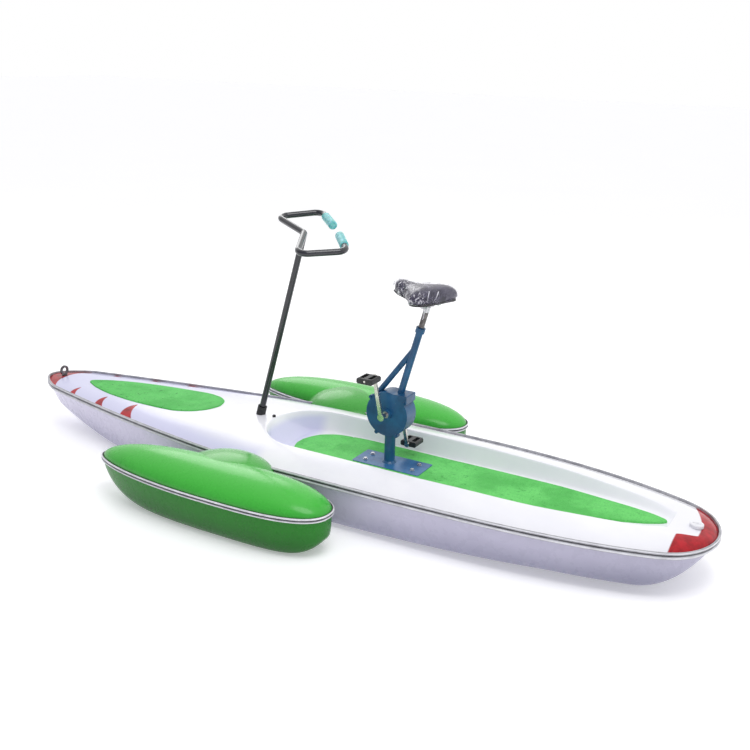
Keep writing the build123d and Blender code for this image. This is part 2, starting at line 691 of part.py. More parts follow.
def saddle_loft(low, high, spread):
    """Broad rear, narrow nose, dished along its length."""
    table = [(-88, 70, 0.6), (-70, 104, 0.86), (-40, 114, 1.0), (10, 76, 0.92), (60, 44, 0.8), (115, 31, 0.8),
             (145, 16, 0.55)]
    faces = []
    for x, half, full in table:
        rise = 10 * (x / 150) ** 2
        wide = half * spread
        z0 = SADDLE_Z + low + rise
        z1 = SADDLE_Z + low + (high - low) * full + rise
        points = [(-wide, z0), (-wide * 0.98, z0 + (z1 - z0) * 0.55), (-wide * 0.7, z1 - (z1 - z0) * 0.06), (0, z1)]
        points = points + [(-y, z) for y, z in points[-2::-1]]
        faces.append(face_of([(SADDLE_X + x, y, z) for y, z in points]))
    return loft(faces)


def crank_way():
    lean = radians(CRANK_LEAN)
    return Vector(sin(lean), 0, cos(lean))


def build_cranks(parts):
    centre = Vector(DRIVE_X, 0, AXLE_Z)
    inner = CRANK_Y - ARM_THICK / 2
    axle = cyl(8, 2 * inner, (DRIVE_X, -inner, AXLE_Z), (0, 1, 0))
    axle = axle + block((DRIVE_X - 5, -CRANK_Y - 4, AXLE_Z - 5), (DRIVE_X + 5, CRANK_Y + 4, AXLE_Z + 5))
    parts["crank_axle"] = axle
    parts["crank_gear"] = bevel(GEAR_R, PINION_R, 50, 10) - cyl(8, 60, (DRIVE_X, 0, AXLE_Z), (0, 1, 0))
    for name, side in (("port", 1), ("stbd", -1)):
        way = crank_way() * side
        plane = Plane(origin=(DRIVE_X, side * CRANK_Y - ARM_THICK / 2, AXLE_Z), x_dir=way, z_dir=(0, 1, 0))
        slim = Polyline((0, -8), (CRANK_LENGTH, -6), (CRANK_LENGTH, 6), (0, 8), close=True)
        web = extrude(plane * make_face(slim), ARM_THICK)
        arm = web + extrude(plane * Circle(14), ARM_THICK)
        arm = arm + extrude(plane * Pos(CRANK_LENGTH, 0) * Circle(10), ARM_THICK)
        end = centre + way * CRANK_LENGTH
        arm = arm - parts["crank_axle"] - cyl(5.5, 30, (end.X, side * CRANK_Y - 15, end.Z), (0, 1, 0))
        parts["crank_arm_" + name] = biggest(arm)
        build_pedal(parts, name, side, end)


def build_pedal(parts, name, side, end):
    y0 = CRANK_Y - ARM_THICK / 2
    long, wide, thick = PEDAL

    def along(radius, start, length):
        low = side * start if side > 0 else -(start + length)
        return cyl(radius, length, (end.X, low, end.Z), (0, 1, 0))
    shoulder = y0 + ARM_THICK + 3
    spindle = along(5.5, y0, ARM_THICK) + along(7, shoulder - 3, 3) + along(4, shoulder, wide + 2)
    parts["pedal_spindle_" + name] = spindle
    inner = shoulder + 1
    low, high = sorted((side * inner, side * (inner + wide)))
    body = block((end.X - long / 2, low, end.Z - thick / 2), (end.X + long / 2, high, end.Z + thick / 2))
    body = chamfer(body.edges().filter_by(Axis.Y), 5)
    for middle in (-0.255 * long, 0.255 * long):
        body = body - Pos(end.X + middle, (low + high) / 2, end.Z) * Box(long / 4, wide - 16, 2 * thick)
    parts["pedal_body_" + name] = body - along(4 + RUN, inner - 1, wide + 2)


def bevel(radius, apex, teeth, face):
    """Bevel wheel on the crank axle, its teeth facing the upright shaft."""
    at = (DRIVE_X, apex, AXLE_Z)
    slope = apex / radius
    wheel = Plane(origin=at, z_dir=(0, 1, 0)) * Pos(0, 0, -face * slope) * \
        Cone(radius - face, radius, face * slope, align=STANDING)
    disc = cyl(radius, 6, (DRIVE_X, apex, AXLE_Z), (0, 1, 0))
    hub = cyl(14, 14, (DRIVE_X, apex, AXLE_Z), (0, 1, 0))
    return wheel + disc + hub


def build_shafts(parts):
    low, high = PROP_Z + LOWER_R + 3, AXLE_Z - GEAR_R
    shaft = cyl(SHAFT_R, high - low, (DRIVE_X, 0, low))
    parts["drive_shaft"] = shaft
    z = AXLE_Z - GEAR_R - 0.5
    upper = Pos(DRIVE_X, 0, z) * Cone(PINION_R - 1.2, PINION_R - 5, 8, align=STANDING)
    hub = cyl(PINION_R - 1.2, 8, (DRIVE_X, 0, z - 8))
    parts["upper_pinion"] = (upper + hub) - shaft
    zl = PROP_Z + LOWER_R - 4
    lower = Pos(DRIVE_X, 0, zl) * Cone(LOWER_R - 4.5, LOWER_R - 1, 4.5, align=STANDING)
    parts["lower_pinion"] = (lower + cyl(LOWER_R - 1, 5, (DRIVE_X, 0, zl + 4.5))) - shaft
    xg = DRIVE_X - LOWER_R
    prop_shaft = cyl(SHAFT_R, 86, (xg + 2, 0, PROP_Z), (-1, 0, 0))
    parts["prop_shaft"] = prop_shaft
    cone = Plane(origin=(xg + 4, 0, PROP_Z), z_dir=(-1, 0, 0)) * \
        Cone(LOWER_R - 4.5, LOWER_R - 1, 4.5, align=STANDING)
    parts["prop_gear"] = (cone + cyl(LOWER_R - 1, 5, (xg - 0.5, 0, PROP_Z), (-1, 0, 0))) - prop_shaft
    build_leg(parts)
    build_propeller(parts)


def build_leg(parts):
    bullet = cyl(20, 78, (DRIVE_X + 26, 0, PROP_Z), (-1, 0, 0))
    bullet = fillet(bullet.edges().group_by(Axis.X)[-1], 14)
    leg = bullet + cyl(15, FLOOR_Z - SKIN - 0.2 - PROP_Z, (DRIVE_X, 0, PROP_Z))
    leg = leg - cyl(16, 56, (DRIVE_X + 18, 0, PROP_Z), (-1, 0, 0)) - cyl(11.5, 120, (DRIVE_X, 0, PROP_Z))
    leg = leg - cyl(9, 60, (DRIVE_X - 30, 0, PROP_Z), (-1, 0, 0))
    parts["lower_leg"] = leg
    parts["prop_bearing"] = tube(8.98, SHAFT_R + RUN, 13, (DRIVE_X - 38.5, 0, PROP_Z), (-1, 0, 0))
    parts["leg_bearing"] = tube(11.48, SHAFT_R + RUN, 12, (DRIVE_X, 0, FLOOR_Z - 30))


def build_propeller(parts):
    hub_x = DRIVE_X - 60
    hub = cyl(12, 46, (hub_x, 0, PROP_Z), (-1, 0, 0))
    hub = fillet(hub.edges().group_by(Axis.X)[0], 8)
    prop = hub
    for i in range(3):
        blade = Pos(hub_x - 20, 0, PROP_Z) * (Rot(120 * i, 0, 0) * (Pos(0, 0, PROP_R / 2 + 4) * (Rot(0, 0, 38)
                * (Box(34, 3.5, PROP_R - 8)))))
        prop = prop + blade
    trim = cyl(PROP_R, 80, (hub_x + 10, 0, PROP_Z), (-1, 0, 0))
    parts["propeller"] = (prop & trim) - cyl(SHAFT_R, 46 - 8, (hub_x, 0, PROP_Z), (-1, 0, 0))


# ---- write every node -----------------------------------------------------------
def main():
    os.makedirs("parts", exist_ok=True)
    parts = {}
    hull_outer = hull_body(0)
    deck_outer = deck_body(0)
    build_hull(parts, hull_outer, deck_outer)
    build_deck_fittings(parts)
    build_floats(parts, hull_outer, deck_outer)
    build_cross_tubes(parts)
    build_steering(parts)
    build_pedestal(parts)
    build_case(parts)
    head, way = build_seat_frame(parts)
    build_saddle(parts, head, way)
    build_cranks(parts)
    build_shafts(parts)
    for name, solid in parts.items():
        save(solid, name)


main()
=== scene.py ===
import math

import bmesh
import bpy
import numpy as np
from mathutils import Matrix, Vector, noise


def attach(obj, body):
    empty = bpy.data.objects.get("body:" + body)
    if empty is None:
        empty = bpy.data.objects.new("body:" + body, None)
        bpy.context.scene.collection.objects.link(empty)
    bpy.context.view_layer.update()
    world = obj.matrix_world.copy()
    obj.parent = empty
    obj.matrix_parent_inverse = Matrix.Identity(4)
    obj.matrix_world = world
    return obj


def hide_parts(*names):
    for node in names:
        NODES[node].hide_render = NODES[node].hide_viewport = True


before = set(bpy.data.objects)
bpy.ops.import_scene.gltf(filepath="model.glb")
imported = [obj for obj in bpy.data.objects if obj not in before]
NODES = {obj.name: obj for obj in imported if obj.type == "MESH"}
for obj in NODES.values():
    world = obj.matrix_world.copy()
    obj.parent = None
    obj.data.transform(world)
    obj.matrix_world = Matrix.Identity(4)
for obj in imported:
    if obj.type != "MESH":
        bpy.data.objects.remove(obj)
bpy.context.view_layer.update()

# ---- the boat's lines, in metres, as the CAD has them --------------------------------
BOW_TIP, STERN_TIP = 1.452, -1.604
ROUND = (0.146, 0.194)          # length of the rounding at the bow and at the stern
CORNER = (1.6, 3.8)
LINES_END = (1.729, 1.838)
WIDEST = 0.040
BEAM_HALF, LINES_HALF, TIP_HALF = 0.3535, 0.014, 0.005
BOW_POWER, STERN_POWER = 1.4, 4.2
RAIL_Z, BOW_RISE, STERN_DIP = 0.180, 0.0057, -0.0157
CROWN_POWER = 3.5
CROWN = [(-1.604, 6), (-1.585, 18), (-1.540, 28), (-1.430, 34), (-1.250, 40), (-0.950, 46), (-0.300, 53),
         (0.250, 54), (0.600, 36), (1.000, 22), (1.250, 15), (1.380, 12), (1.430, 9), (1.452, 5)]
RECESS_FRONT, RECESS_NOSE, RECESS_AFT, RECESS_HALF = 0.180, 0.200, -1.450, 0.207
RECESS_TAIL = [(-1.450, 0.062), (-1.370, 0.106), (-1.190, 0.152), (-0.970, 0.188), (-0.600, 0.207)]
RECESS_WALL, FLOOR_Z, PAD = 0.030, 0.150, 0.004
AFT_PAD = [(-1.436, 0.010), (-1.370, 0.042), (-1.190, 0.089), (-0.970, 0.130), (-0.600, 0.157),
           (-0.200, 0.164), (-0.060, 0.150), (0.020, 0.108), (0.062, 0.030)]
FORE_PAD = [(0.470, 0.020), (0.500, 0.072), (0.560, 0.112), (0.640, 0.130), (0.800, 0.124),
            (1.000, 0.096), (1.130, 0.056), (1.215, 0.012)]
FLOAT_BOW, FLOAT_STERN, FLOAT_BEAM, FLOAT_X, FLOAT_Y = 0.562, 0.463, 0.266, 0.060, 0.527
FLOAT_STBD_SHIFT = -0.038
FLOAT_RAIL_Z, FLOAT_CROWN = 0.154, 0.080
ARM_CENTRE, ARM_RADII, ARM_LOW = (0.095, 0.452, 0.150), (0.196, 0.176, 0.092), 0.128
SADDLE_X, SADDLE_Z = -0.472, 0.823
SADDLE_PIVOT, SADDLE_TURN = -0.49104, math.radians(-18)
RIM_LIFT, LIP_ROUNDING, FLOOR_ROUNDING = 0.0030, 0.0045, 0.008
TUNNEL_HALF = 0.075
TUNNEL = [(-0.295, -0.02), (-0.295, 0.125), (-0.520, 0.125), (-0.960, 0.025), (-0.960, -0.02)]
WELL_X, WELL_RADIUS, WELL_LOW, WELL_TOP, WELL_SIDES = 0.290, 0.120, -0.02, 0.115, 64
DECK_TIP = 0.06                 # length at each end of the deck where its rows close up
FINS = [(1.182, 1.190, 0.086, 0.018), (0.980, 0.997, 0.120, 0.0245),    # base x, tip x, inner y, half-width
        (0.786, 0.809, 0.135, 0.034)]
STBD_FIN_LENGTH = 0.38          # of the port fins' length
FILM_GAP, CLOTH_FRAMES, MOST_PUFF = 0.0045, 18, 0.006
TIE_STATIONS = 60

# ---- the photo's camera and the lights -----------------------------------------------
CAMERA_PLACE = (-2.0437, 3.2068, 1.6812)
CAMERA_YAW, CAMERA_PITCH, CAMERA_ROLL = -1.06831, 0.31175, 0.030575
SENSOR, LENS = 36.0, 47.99904
LIGHTS = [("key", (-1.5, 1.2, 4.2), (0, 0, 0.1), 2.6, 70, (1, 1, 1)),   # place, target, size, power, colour
          ("fill", (-3.5, 3.6, 1.8), (0, 0.2, 0.2), 3.0, 10, (0.93, 0.93, 1.0)),
          ("rim", (2.8, -3.0, 2.6), (0, 0, 0.2), 2.5, 30, (1, 1, 1))]
FLOOR_GLOW = 0.30


def smooth_table(pairs):
    """Smooth curve through (x, value) pairs, without overshoot."""
    xs = np.array([p[0] for p in pairs], float)
    ys = np.array([p[1] for p in pairs], float)
    step = np.diff(ys) / np.diff(xs)
    slope = np.zeros(len(xs))
    slope[0], slope[-1] = step[0], step[-1]
    for i in range(1, len(xs) - 1):
        if step[i - 1] * step[i] > 0:
            slope[i] = 2 / (1 / step[i - 1] + 1 / step[i])

    def value(x):
        x = np.clip(np.asarray(x, float), xs[0], xs[-1])
        i = np.clip(np.searchsorted(xs, x) - 1, 0, len(xs) - 2)
        h = xs[i + 1] - xs[i]
        t = (x - xs[i]) / h
        return ((2 * t ** 3 - 3 * t ** 2 + 1) * ys[i] + (t ** 3 - 2 * t ** 2 + t) * h * slope[i]
                + (3 * t ** 2 - 2 * t ** 3) * ys[i + 1] + (t ** 3 - t ** 2) * h * slope[i + 1])
    return value


crown_mm = smooth_table(CROWN)
tail_half = smooth_table(RECESS_TAIL)


def hull_half(x):
    x = np.asarray(x, float)
    ahead = x >= WIDEST
    part = np.where(ahead, (x - WIDEST) / (LINES_END[0] - WIDEST), (WIDEST - x) / (LINES_END[1] + WIDEST))
    part = np.clip(part, 0, 1)
    power = np.where(ahead, BOW_POWER, STERN_POWER)
    end = np.where(ahead, (x - BOW_TIP + ROUND[0]) / ROUND[0], (STERN_TIP + ROUND[1] - x) / ROUND[1])
    outline = LINES_HALF + (BEAM_HALF - LINES_HALF) * (1 - part ** power)
    corner = np.where(ahead, *CORNER)
    return np.maximum(outline * np.sqrt(1 - np.clip(end, 0, 1) ** corner), TIP_HALF)


def rail_z(x):
    x = np.asarray(x, float)
    away = (np.maximum(np.abs(x) - 0.7, 0) / 0.9) ** 1.5
    return RAIL_Z + away * np.where(x > 0, BOW_RISE, STERN_DIP)


def keel_z(x):
    x = np.asarray(x, float)
    stem = -0.004 + 0.176 * (np.maximum(x - 0.7, 0) / 0.83) ** 2.4
    rise = 0.030 * np.clip((-0.2 - x) / 0.9, 0, 1) ** 1.6
    tail = 0.150 * (np.maximum(-1.390 - x, 0) / 0.225) ** 2
    return np.where(x > 0.7, stem, -0.004 + rise + tail)


def deck_top(x, y):
    part = np.minimum(np.abs(y) / hull_half(x), 1.0)
    return rail_z(x) + 0.001 * crown_mm(x) * (1 - part ** CROWN_POWER)


def recess_half(x):
    x = np.asarray(x, float)
    centre = RECESS_FRONT - RECESS_NOSE
    nose = RECESS_HALF * np.sqrt(np.clip(1 - (np.maximum(x - centre, 0) / RECESS_NOSE) ** 2, 0, 1))
    return np.where(x > centre, nose, tail_half(x))


def floor_z(x):
    x = np.asarray(x, float)
    nose = np.maximum(x - 0.090, 0) / (RECESS_FRONT - 0.090)
    tail = np.maximum(-0.5 - x, 0) / (-0.5 - RECESS_AFT)
    return FLOOR_Z + 0.084 * nose ** 1.5 + 0.034 * tail ** 1.6


def floor_bed(x, y):
    """The cockpit floor, which is level across."""
    return floor_z(x) + 0 * y


def soft_max(a, b, k):
    """The larger of two heights, with a rounded corner about k wide."""
    return 0.5 * (a + b + np.sqrt((a - b) ** 2 + k * k))


def soft_min(a, b, k):
    """The smaller of two heights, rounded in the same way."""
    return 0.5 * (a + b - np.sqrt((a - b) ** 2 + k * k))


def recess_surface(x, y):
    """Height of the recess: floor, leaning side walls, and far above the deck outside it."""
    lip = recess_half(x)
    wall = np.maximum(np.minimum(RECESS_WALL, lip * 0.45), 0.004)
    foot = floor_z(x)
    lip_z = deck_top(x, lip)
    side = foot + (np.abs(y) - (lip - wall)) / wall * np.maximum(lip_z - foot, 0.004)
    height = soft_max(foot, side, FLOOR_ROUNDING)
    outside = (x > RECESS_FRONT) | (x < RECESS_AFT)
    return np.where(outside, 1.0, height)


def deck_surface(x, y):
    rim = rail_z(x) + RIM_LIFT
    return soft_min(np.maximum(deck_top(x, y), rim), recess_surface(x, y), LIP_ROUNDING)


# ---- mesh helpers ------------------------------------------------------------------
def make(name, verts, faces, mats, body="hull", smooth=True, face_mats=None):
    mesh = bpy.data.meshes.new(name)
    mesh.from_pydata([tuple(map(float, v)) for v in verts], [], [tuple(map(int, f)) for f in faces])
    mesh.update()
    piece = bpy.data.objects.new(name, mesh)
    bpy.context.scene.collection.objects.link(piece)
    for mat in mats if isinstance(mats, (list, tuple)) else [mats]:
        mesh.materials.append(mat)
    if smooth:
        mesh.polygons.foreach_set("use_smooth", [True] * len(mesh.polygons))
    if face_mats is not None:
        mesh.polygons.foreach_set("material_index", [int(i) for i in face_mats])
    bm = bmesh.new()
    bm.from_mesh(mesh)
    bmesh.ops.remove_doubles(bm, verts=bm.verts, dist=1e-6)
    bmesh.ops.recalc_face_normals(bm, faces=bm.faces)
    bm.to_mesh(mesh)
    bm.free()
    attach(piece, body)
    return piece


def grid_faces(rows, cols, loop_rows=False, loop_cols=False):
    i = np.arange(rows if loop_rows else rows - 1)[:, None]
    j = np.arange(cols if loop_cols else cols - 1)[None, :]
    a = i * cols + j
    b = i * cols + (j + 1) % cols
    c = ((i + 1) % rows) * cols + (j + 1) % cols
    d = ((i + 1) % rows) * cols + j
    return np.stack([a, b, c, d], -1).reshape(-1, 4)


def grid(name, points, mats, body="hull", loop_rows=False, loop_cols=False, caps=False, **more):
    rows, cols = points.shape[:2]
    faces = [tuple(f) for f in grid_faces(rows, cols, loop_rows, loop_cols)]
    if caps:
        faces.append(tuple(range(cols)))
        faces.append(tuple((rows - 1) * cols + k for k in range(cols)))
    return make(name, points.reshape(-1, 3), faces, mats, body, **more)


def sharpen(piece, angle=35):
    piece.data.set_sharp_from_angle(angle=math.radians(angle))


def applied(piece):
    """Writes the piece's modifiers into its mesh."""
    deps = bpy.context.evaluated_depsgraph_get()
    mesh = bpy.data.meshes.new_from_object(piece.evaluated_get(deps))
    piece.modifiers.clear()
    piece.data = mesh


def ends(count):
    """0 to 1, closer together near both ends."""
    return 0.5 - 0.5 * np.cos(np.pi * np.linspace(0, 1, count))


# ---- node material helpers ---------------------------------------------------------
class Field:
    """A float socket that takes arithmetic."""

    def __init__(self, tree, socket):
        self.tree, self.socket = tree, socket

    def _op(self, op, *others):
        node = self.tree.nodes.new("ShaderNodeMath")
        node.operation = op
        for i, item in enumerate((self,) + others):
            if isinstance(item, Field):
                self.tree.links.new(item.socket, node.inputs[i])
            else:
                node.inputs[i].default_value = item
        return Field(self.tree, node.outputs[0])

    def __add__(self, other):
        return self._op("ADD", other)

    def __sub__(self, other):
        return self._op("SUBTRACT", other)

    def __rsub__(self, other):
        return self._op("MULTIPLY", -1.0) + other

    def __mul__(self, other):
        return self._op("MULTIPLY", other)

    def __pow__(self, other):
        return self._op("POWER", other)

    def abs(self):
        return self._op("ABSOLUTE")

    def least(self, other):
        return self._op("MINIMUM", other)

    def most(self, other):
        return self._op("MAXIMUM", other)

    def step(self, low, high):
        """0 below low and 1 above high."""
        node = self.tree.nodes.new("ShaderNodeMapRange")
        node.interpolation_type = "SMOOTHSTEP"
        self.tree.links.new(self.socket, node.inputs[0])
        node.inputs[1].default_value, node.inputs[2].default_value = low, high
        return Field(self.tree, node.outputs[0])


def mixed(tree, mask, first, second):
    """Colour socket: first where mask is 0, second where it is 1."""
    node = tree.nodes.new("ShaderNodeMix")
    node.data_type = "RGBA"
    tree.links.new(mask.socket, node.inputs[0])
    for slot, item in ((6, first), (7, second)):
        if isinstance(item, tuple):
            node.inputs[slot].default_value = (*item, 1)
        else:
            tree.links.new(item, node.inputs[slot])
    return node.outputs[2]


class Mat:
    """A Principled material and what it is painted with."""

    def __init__(self, name, rough=0.4, metal=0.0, coat=0.0, **sockets):
        self.mat = bpy.data.materials.new(name)
        self.mat.use_nodes = True
        self.tree = self.mat.node_tree
        self.bsdf = self.tree.nodes["Principled BSDF"]
        self.bsdf.inputs["Roughness"].default_value = rough
        self.bsdf.inputs["Metallic"].default_value = metal
        self.bsdf.inputs["Coat Weight"].default_value = coat
        for key, value in sockets.items():
            self.bsdf.inputs[key.replace("_", " ")].default_value = value
        self.coords = self.tree.nodes.new("ShaderNodeTexCoord")

    def xyz(self):
        split = self.tree.nodes.new("ShaderNodeSeparateXYZ")
        self.tree.links.new(self.coords.outputs["Object"], split.inputs[0])
        return [Field(self.tree, split.outputs[i]) for i in range(3)]

    def noise(self, scale, detail=4.0, rough=0.55, stretch=None, twist=0.0):
        node = self.tree.nodes.new("ShaderNodeTexNoise")
        node.inputs["Scale"].default_value = scale
        node.inputs["Detail"].default_value = detail
        node.inputs["Roughness"].default_value = rough
        node.inputs["Distortion"].default_value = twist
        source = self.coords.outputs["Object"]
        if stretch:
            mapping = self.tree.nodes.new("ShaderNodeMapping")
            mapping.inputs["Scale"].default_value = stretch
            self.tree.links.new(source, mapping.inputs[0])
            source = mapping.outputs[0]
        self.tree.links.new(source, node.inputs["Vector"])
        return Field(self.tree, node.outputs[0])

    def cells(self, scale):
        node = self.tree.nodes.new("ShaderNodeTexVoronoi")
        node.inputs["Scale"].default_value = scale
        self.tree.links.new(self.coords.outputs["Object"], node.inputs["Vector"])
        return Field(self.tree, node.outputs["Distance"])

    def mix(self, mask, first, second):
        return mixed(self.tree, mask, first, second)

    def paint(self, colour):
        self.tree.links.new(colour, self.bsdf.inputs["Base Color"])
        return self

    def rough(self, field, low, high):
        self.tree.links.new((field * (high - low) + low).socket, self.bsdf.inputs["Roughness"])
        return self

    def bump(self, field, distance, strength=1.0):
        node = self.tree.nodes.new("ShaderNodeBump")
        node.inputs["Distance"].default_value = distance
        node.inputs["Strength"].default_value = strength
        self.tree.links.new(field.socket, node.inputs["Height"])
        self.tree.links.new(node.outputs[0], self.bsdf.inputs["Normal"])
        return self


def finished(name, dark, light, rough=(0.3, 0.5), scale=20, grain=400, depth=0.0001, **more):
    """A surface of one material: mottled colour, uneven gloss and a fine grain."""
    m = Mat(name, **more)
    cloud = m.noise(scale)
    m.paint(m.mix(cloud.step(0.3, 0.7), dark, light))
    m.rough(m.noise(scale * 2.3), *rough)
    return m.bump(m.noise(grain, 3), depth).mat


# ---- materials ---------------------------------------------------------------------
RED, RED_DARK = (0.50, 0.008, 0.018), (0.27, 0.004, 0.009)


def deck_material():
    """Glossy white gelcoat, with red paint at both tips and three red fins each side of the bow, and painted
    lavender shade where the deck ahead of the cockpit lies low.
    """
    m = Mat("deck_gelcoat", coat=0.14, Coat_Roughness=0.08, Specular_IOR_Level=0.22)
    x, y, z = m.xyz()
    wobble = (m.noise(9, 2) - 0.5) * 0.012
    bow = (x + y * y * 2.9 + wobble).step(1.362, 1.367)
    off = y.abs()
    lobe = (1.0 - y.step(0.058, 0.096)) * ((1.0 - (y * -1.0).step(-0.03, 0.25)) * 0.066)
    stern = ((x * -1.0) - lobe).step(1.484, 1.489)
    mask = bow.most(stern)
    for base, tip, reach_in, wide in FINS:
        edge = float(hull_half(base)) - 0.004
        run = (off * -1.0 + edge) * (1 / (edge - reach_in))
        port = y.step(-0.002, 0.002)
        length = port * (1.0 - STBD_FIN_LENGTH) + STBD_FIN_LENGTH
        along = run * length ** -1.0
        inside = along.step(0.0, 0.02) * (1.0 - along.step(0.97, 1.0))
        run_in = along.most(0.0).least(1.0)
        half = (1.0 - run_in) ** 0.62 * wide
        bend = run_in * (tip - base) + run_in * (1.0 - run_in) * (2.0 * wide)
        away = (x - base - bend).abs() - half
        fin = (1.0 - away.step(-0.003, 0.002)) * inside
        mask = mask.most(fin)
    cloud = m.noise(3.0, 5)
    white = m.mix(cloud.step(0.35, 0.75), (0.86, 0.86, 0.90), (0.93, 0.93, 0.945))
    grime = m.noise(26, 8, 0.7).step(0.64, 0.80) * 0.22
    white = m.mix(grime, white, (0.62, 0.60, 0.62))
    # Painted shade: lavender grey wherever the deck ahead of x 0.02 lies below about 0.226, which tints the
    # front of the recess and the deck towards the rail.
    shade = (x - 0.02).step(0.0, 0.06) * (z * -1.0 + 0.226).step(0.0, 0.03) * 0.75
    white = m.mix(shade, white, (0.62, 0.62, 0.86))
    red = m.mix(m.noise(22, 6, 0.65).step(0.35, 0.7), RED, RED_DARK)
    m.paint(m.mix(mask, white, red))
    m.rough(m.noise(40, 3), 0.12, 0.30)
    return m.bump(m.noise(14, 2), 0.0009).mat


def side_material(name, top, low, edge_z, reach, coat=0.2, aft=None):
    """Gelcoat side with painted shade: darker below edge_z and, when an aft colour is given, darker towards
    the stern; with faint darker streaks.
    """
    m = Mat(name, coat=coat, Coat_Roughness=0.12, Specular_IOR_Level=0.3)
    x, _, z = m.xyz()
    # Painted shade: the colour darkens from top to low below edge_z.
    shade_below = ((z * -1.0) + edge_z + (m.noise(5, 4) - 0.5) * 0.05).step(0.0, reach)
    colour = m.mix(shade_below, top, low)
    # Painted shade: an aft colour darkens the side towards the stern, more so low down.
    if aft:
        colour = m.mix((x * -1.0).step(-0.2, 1.5) * (shade_below * 0.5 + 0.4), colour, aft)
    streak = m.noise(18, 6, 0.6, stretch=(1.0, 1.0, 0.2)).step(0.60, 0.90) * 0.05
    colour = m.mix(streak, colour, tuple(c * 0.6 for c in low))
    m.paint(colour)
    m.rough(m.noise(30, 3), 0.18, 0.38)
    return m.bump(m.noise(11, 3), 0.0010).mat


def foam_material(name, light, dark, speck):
    """Deck foam: a pebbled matt sheet with darker specks and scuffs."""
    m = Mat(name, Specular_IOR_Level=0.12)
    cloud = m.noise(7, 6, 0.62).step(0.36, 0.68)
    colour = m.mix(cloud, light, dark)
    fine = m.noise(160, 3, 0.7).step(0.50, 0.70) * 0.55
    colour = m.mix(fine, colour, tuple(c * 0.72 for c in dark))
    spots = m.noise(46, 5, 0.75).step(0.60, 0.66) * m.noise(4, 2).step(0.40, 0.60)
    m.paint(m.mix(spots, colour, speck))
    m.rough(m.noise(60, 3), 0.42, 0.70)
    return m.bump(m.cells(260), 0.0007, 0.8).mat


def blue_material(name, light, dark):
    """Enamel with brush marks, runs and small chips to bare steel."""
    m = Mat(name, coat=0.22, Coat_Roughness=0.15, Specular_IOR_Level=0.35)
    cloud = m.noise(14, 5, 0.6).step(0.3, 0.7)
    colour = m.mix(cloud, dark, light)
    chips = m.noise(120, 4, 0.6).step(0.71, 0.74)
    colour = m.mix(chips, colour, (0.20, 0.21, 0.22))
    m.paint(colour)
    m.rough(m.noise(50, 3), 0.22, 0.46)
    return m.bump(m.noise(45, 4), 0.0006).mat


def film_material():
    """Crumpled clear polythene: mostly clear, with painted white glints (painted highlight), strongest on
    the nose and the port side.
    """
    m = Mat("clear_film", rough=0.10, IOR=1.45)
    x, y, _ = m.xyz()
    haze = m.noise(34, 5, 0.65, twist=0.8).step(0.42, 0.80)
    # Painted highlight: white glints in colour and opacity, stronger towards the nose and the port side.
    lit = (x + y * 0.9 + 0.50).step(0.0, 0.14) * 0.8 + 0.2
    painted_glint = m.noise(58, 3, 0.6, twist=1.1).step(0.54, 0.62) * lit
    m.paint(m.mix(painted_glint, (0.34, 0.31, 0.46), (1.0, 0.99, 1.0)))
    m.tree.links.new((haze * 0.20 + painted_glint * 0.62 + 0.06).least(1.0).socket, m.bsdf.inputs["Alpha"])
    m.bump(m.noise(75, 5, 0.6, twist=1.2), 0.0030)
    return m.mat


DECK = deck_material()
# Painted shade: the white hull side is coloured lavender grey, darker towards the keel and the stern.
SIDE = side_material("hull_gelcoat", (0.72, 0.69, 0.84), (0.40, 0.39, 0.52), 0.165, 0.17,
                     aft=(0.22, 0.22, 0.30))
# Painted shade: the float top darkens towards its rail, and the lower moulding is the same green in painted
# shade.
GREEN_TOP = side_material("float_green", (0.060, 0.500, 0.050), (0.028, 0.310, 0.028), 0.21, 0.08)
GREEN_LOW_SHADED = side_material("float_green_deep", (0.009, 0.190, 0.007), (0.005, 0.105, 0.005), 0.13, 0.13, 0.08)
# Painted shade: the arm cover darkens towards its foot.
ARM_GREEN = side_material("arm_green", (0.060, 0.400, 0.050), (0.030, 0.250, 0.028), 0.23, 0.08)
FORE_FOAM = foam_material("fore_foam", (0.120, 0.600, 0.130), (0.078, 0.480, 0.088), (0.012, 0.130, 0.022))
AFT_FOAM = foam_material("aft_foam", (0.150, 0.640, 0.150), (0.090, 0.480, 0.095), (0.040, 0.290, 0.048))
# Rail bands: grey is the rail itself, the dark band is painted shade and the pale band painted highlight.
RAIL_GREY = finished("rail_grey", (0.30, 0.30, 0.32), (0.48, 0.48, 0.50), (0.30, 0.5), 30)
RAIL_SHADE = finished("rail_painted_shade", (0.035, 0.035, 0.040), (0.07, 0.07, 0.08), (0.35, 0.55), 30)
RAIL_HIGHLIGHT = finished("rail_painted_highlight", (0.66, 0.66, 0.69), (0.84, 0.84, 0.87), (0.25, 0.4), 24)
BLUE = blue_material("blue_enamel", (0.018, 0.115, 0.255), (0.008, 0.062, 0.155))
BLUE_PLATE = blue_material("blue_plate", (0.036, 0.165, 0.370), (0.018, 0.090, 0.235))
STEEL = finished("stainless", (0.50, 0.50, 0.52), (0.66, 0.66, 0.68), (0.18, 0.36),
                 60, 700, 0.00005, metal=1.0)
WEATHERED = finished("weathered_steel", (0.09, 0.08, 0.08), (0.22, 0.20, 0.20), (0.3, 0.5),
                     60, 400, 0.0001, metal=0.8)
GEARS = finished("gear_steel", (0.34, 0.34, 0.36), (0.46, 0.46, 0.48), (0.28, 0.45),
                 60, 700, 0.00005, metal=1.0)
ALLOY = finished("polished_alloy", (0.56, 0.54, 0.49), (0.72, 0.70, 0.65), (0.16, 0.34),
                 40, 600, 0.00005, metal=1.0)
